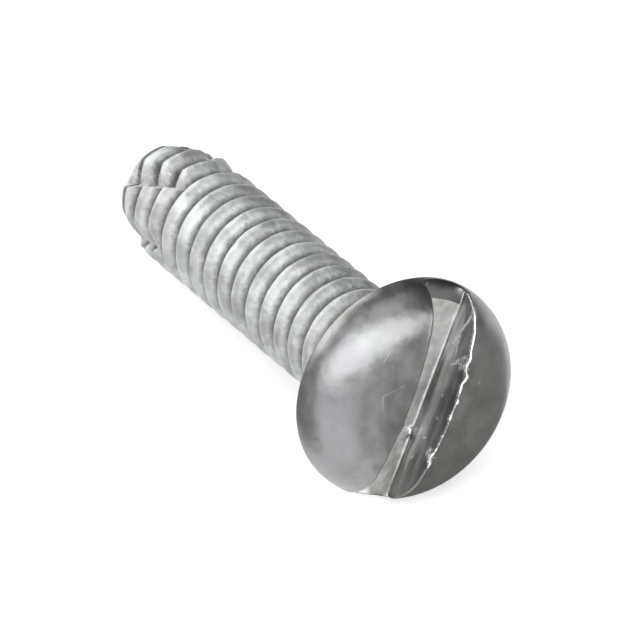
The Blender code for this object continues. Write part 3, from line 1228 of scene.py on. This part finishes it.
def slot_plate(finish, slot_angle):
    """Plate in the slot, drawn along its walls by the punch and by drivers, with painted shade on the walls
    and a painted highlight along the foot of one wall.
    """
    plate = Plate("slot_plate", finish.slot_colour, finish.slot_roughness)
    tree, place = plate.tree, plate.place
    drawn = add_node(tree, "ShaderNodeMapping", vector_type="TEXTURE")
    feed(tree, drawn.inputs["Vector"], place)
    drawn.inputs["Rotation"].default_value = (0.0, 0.0, slot_angle)
    drawn.inputs["Scale"].default_value = SLOT_STRETCH
    lines = noise_between(tree, drawn.outputs["Vector"], SLOT_LINES)
    plate.tint(lines, finish.stain_colour, strength=0.1)
    wall = attribute(tree, "wall").outputs["Fac"]
    patches = noise_between(tree, drawn.outputs["Vector"], SLOT_PATCHES)
    plate.tint(calculate(tree, "MULTIPLY", wall, patches), finish.stain_colour)
    # Painted shade: the slot's walls darken towards the lip
    shaded = height_between(tree, place, *WALL_SHADE_LEVELS, *WALL_SHADE_STRENGTHS)
    plate.tint(calculate(tree, "MULTIPLY", wall, shaded), finish.wall_shade_and_dirt_colour)
    plate.raise_by(lines, strength=0.3, distance=0.000008)
    plate.raise_by(plate.noise(SLOT_GRAIN), strength=0.5, distance=0.000012)
    plate.lay_scratches(SLOT_DIRT, finish.wall_shade_and_dirt_colour, strength=0.9)
    # Scratches, and the painted highlight along the foot of the slot's wall
    plate.lay_scratches(SLOT_SCRATCHES_AND_HIGHLIGHT, finish.bare_colour)
    plate.lay_bare(finish)
    return plate.finish()


def thread_plate(finish):
    """Pale satin plate on the thread, with painted shade in the roots, and torn in the flutes."""
    plate = Plate("thread_plate", finish.thread_colour, finish.thread_roughness, THREAD_METALLIC)
    tree = plate.tree
    plate.tint(plate.noise(THREAD_HAZE), finish.haze_colour, strength=0.6)
    # Painted shade: the crest share darkens the plate towards the thread's roots
    crest = attribute(tree, "crest").outputs["Fac"]
    ragged = calculate(tree, "MULTIPLY", plate.noise(ROOT_EDGE), ROOT_RAGGED)
    edge = calculate(tree, "ADD", crest, ragged)
    root = spread(tree, edge, *ROOT_EDGE_RANGE, ROOT_SHADE_STRENGTH, 0.0)
    plate.tint(root, finish.root_shade_colour)
    plate.tint(plate.noise(THREAD_STAINS), finish.stain_colour, strength=0.45)
    plate.raise_by(plate.noise(THREAD_WAVES), strength=0.6, distance=0.00003)
    plate.raise_by(plate.noise(FINE_GRAIN), strength=0.7, distance=0.000014)
    pressed = attribute(tree, "pressed").outputs["Fac"]
    torn = calculate(tree, "MULTIPLY", plate.noise(FLUTE_TEARS), pressed)
    plate.raise_by(torn, strength=1.0, distance=0.00005)
    plate.tint(torn, finish.stain_colour, strength=0.5)
    return plate.finish()


class SCREW_OT_add_screw(Operator):
    """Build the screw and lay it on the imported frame"""

    bl_idname = "screw.add_screw"
    bl_label = "Add Screw"

    def execute(self, context):
        size = context.scene.screw_sizes
        finish = context.scene.screw_finish
        mesh = bmesh.new()
        for name in ("bare", "wall", "crest", "pressed"):
            mesh.verts.layers.float.new(name)
        add_shank(mesh, size)
        shank_faces = set(mesh.faces)
        slot_faces = set(add_head(mesh, size))
        for face in mesh.faces:
            face.smooth = True
            if face in shank_faces:
                face.material_index = 1
            elif face in slot_faces:
                face.material_index = 2
        bmesh.ops.recalc_face_normals(mesh, faces=mesh.faces)
        data = bpy.data.meshes.new("zinc_screw")
        mesh.to_mesh(data)
        mesh.free()
        upright = data.attributes.new("place", "FLOAT_VECTOR", "POINT")
        for vert in data.vertices:
            upright.data[vert.index].vector = vert.co
        data.transform(lying_matrix(size))
        data.materials.append(head_plate(finish))
        data.materials.append(thread_plate(finish))
        data.materials.append(slot_plate(finish, size.slot_angle))
        data.set_sharp_from_angle(angle=SHARP_ANGLE)
        screw = bpy.data.objects.new("zinc_screw", data)
        context.scene.collection.objects.link(screw)
        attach(screw, "root")
        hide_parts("screw")
        return {"FINISHED"}


def add_soft_light(scene, name, lamp, power):
    """Hang a rectangular soft light and aim it at the screw."""
    data = bpy.data.lights.new(name, "AREA")
    data.shape = "RECTANGLE"
    data.energy = power
    data.size = lamp.width
    data.size_y = lamp.height
    light = bpy.data.objects.new(name, data)
    scene.collection.objects.link(light)
    light.location = lamp.place
    aim = Vector(LAMP_TARGET) - Vector(lamp.place)
    light.rotation_euler = aim.to_track_quat("-Z", "Y").to_euler()


def add_sheet(scene, name, centre, half, material):
    """Lay a level square sheet."""
    mesh = bmesh.new()
    bmesh.ops.create_grid(mesh, x_segments=1, y_segments=1, size=half)
    data = bpy.data.meshes.new(name)
    mesh.to_mesh(data)
    mesh.free()
    data.materials.append(material)
    sheet = bpy.data.objects.new(name, data)
    scene.collection.objects.link(sheet)
    sheet.location = centre
    return sheet


def matte_material(name, colour):
    """Matte material of one colour."""
    material = bpy.data.materials.new(name)
    material.use_nodes = True
    shader = material.node_tree.nodes["Principled BSDF"]
    shader.inputs["Base Color"].default_value = (*colour, 1.0)
    shader.inputs["Roughness"].default_value = MATTE_ROUGHNESS
    return material


class SCREW_OT_add_stage(Operator):
    """Lay the floor, hang the lights and set the camera at the photograph's angle"""

    bl_idname = "screw.add_stage"
    bl_label = "Add Stage"

    def execute(self, context):
        scene = context.scene
        stage = scene.screw_stage
        material = self.floor_material(stage)
        floor = add_sheet(scene, "floor", (0.0, 0.0, 0.0), stage.floor_size / 2.0, material)

        world = bpy.data.worlds.new("room")
        world.use_nodes = True
        background = world.node_tree.nodes["Background"]
        background.inputs["Color"].default_value = (1.0, 1.0, 1.0, 1.0)
        self.shade_room(world.node_tree, background, stage.world_strength)
        scene.world = world

        add_soft_light(scene, "key_light", KEY_LAMP, stage.key_power)
        add_soft_light(scene, "top_light", TOP_LAMP, stage.top_power)
        add_soft_light(scene, "point_light", POINT_LAMP, stage.point_power)
        self.add_grey_cards(scene, stage)
        self.add_camera(scene, stage)
        scene.view_settings.view_transform = "Standard"
        return {"FINISHED"}

    def add_grey_cards(self, scene, stage):
        """Lay grey cards on the floor, which only the plate's reflections see."""
        material = matte_material("grey_card", stage.card_colour)
        half = stage.card_width / 2.0
        right = (RIGHT_CARD_CORNER[0] + half, RIGHT_CARD_CORNER[1] + half, CARD_LIFT)
        front = (FRONT_CARD_CORNER[0] - half, FRONT_CARD_CORNER[1] - half, CARD_LIFT)
        for name, centre in (("right_card", right), ("front_card", front)):
            card = add_sheet(scene, name, centre, half, material)
            card.visible_camera = False
            card.visible_diffuse = False
            card.visible_shadow = False

    def shade_room(self, tree, background, strength):
        """Let the room's light fall off from the bright side of the studio to the dark side."""
        direction = add_node(tree, "ShaderNodeTexCoord").outputs["Generated"]
        side = combine_vectors(tree, "DOT_PRODUCT", direction, BRIGHT_SIDE, "Value")
        fall = spread(tree, side, *ROOM_FALL, DARK_SIDE_SHARE * strength, strength)
        feed(tree, background.inputs["Strength"], fall)

    def floor_material(self, stage):
        """Pale matte floor, lifted towards white where the camera or a reflection sees it."""
        material = matte_material("pale_floor", stage.floor_colour)
        tree = material.node_tree
        shader = tree.nodes["Principled BSDF"]
        shader.inputs["Specular IOR Level"].default_value = 0.0
        path = add_node(tree, "ShaderNodeLightPath")
        seen = path.outputs["Is Camera Ray"]
        for ray in ("Is Glossy Ray", "Is Transmission Ray"):
            seen = calculate(tree, "MAXIMUM", seen, path.outputs[ray])
        glow = add_node(tree, "ShaderNodeEmission")
        feed(tree, glow.inputs["Strength"], calculate(tree, "MULTIPLY", seen, stage.floor_glow))
        both = add_node(tree, "ShaderNodeAddShader")
        feed(tree, both.inputs[0], shader.outputs["BSDF"])
        feed(tree, both.inputs[1], glow.outputs["Emission"])
        feed(tree, tree.nodes["Material Output"].inputs["Surface"], both.outputs["Shader"])
        return material

    def add_camera(self, scene, stage):
        """Place the camera by its azimuth, elevation and distance from its aim."""
        turn, lift = stage.camera_azimuth, stage.camera_elevation
        level = math.cos(lift)
        back = Vector((math.sin(turn) * level, -math.cos(turn) * level, math.sin(lift)))
        data = bpy.data.cameras.new("camera")
        data.lens = stage.camera_lens
        data.sensor_width = 36.0
        data.clip_start = 0.01
        data.clip_end = 10.0
        camera = bpy.data.objects.new("camera", data)
        scene.collection.objects.link(camera)
        camera.location = Vector(stage.camera_aim) + back * stage.camera_distance
        camera.rotation_euler = (-back).to_track_quat("-Z", "Y").to_euler()
        scene.camera = camera


class SCREW_PT_panel(Panel):
    """Sizes and finish of the screw, and the stage"""

    bl_label = "Slotted Screw"
    bl_space_type = "VIEW_3D"
    bl_region_type = "UI"
    bl_category = "Screw"

    def draw(self, context):
        scene = context.scene
        layout = self.layout
        for settings in (scene.screw_sizes, scene.screw_finish, scene.screw_stage):
            box = layout.box()
            for name in settings.__annotations__:
                box.prop(settings, name)
        layout.operator(SCREW_OT_add_screw.bl_idname)
        layout.operator(SCREW_OT_add_stage.bl_idname)


CLASSES = (
    ScrewSizes,
    ScrewFinish,
    StageSettings,
    SCREW_OT_add_screw,
    SCREW_OT_add_stage,
    SCREW_PT_panel,
)


def register():
    """Register the classes and hang their settings on the scene."""
    for entry in CLASSES:
        bpy.utils.register_class(entry)
    bpy.types.Scene.screw_sizes = PointerProperty(type=ScrewSizes)
    bpy.types.Scene.screw_finish = PointerProperty(type=ScrewFinish)
    bpy.types.Scene.screw_stage = PointerProperty(type=StageSettings)


def unregister():
    """Take the settings and the classes away again."""
    del bpy.types.Scene.screw_stage
    del bpy.types.Scene.screw_finish
    del bpy.types.Scene.screw_sizes
    for entry in reversed(CLASSES):
        bpy.utils.unregister_class(entry)


def main():
    """Build the screw and the stage."""
    register()
    bpy.ops.screw.add_screw()
    bpy.ops.screw.add_stage()
    bpy.context.view_layer.update()


if __name__ == "__main__":
    main()
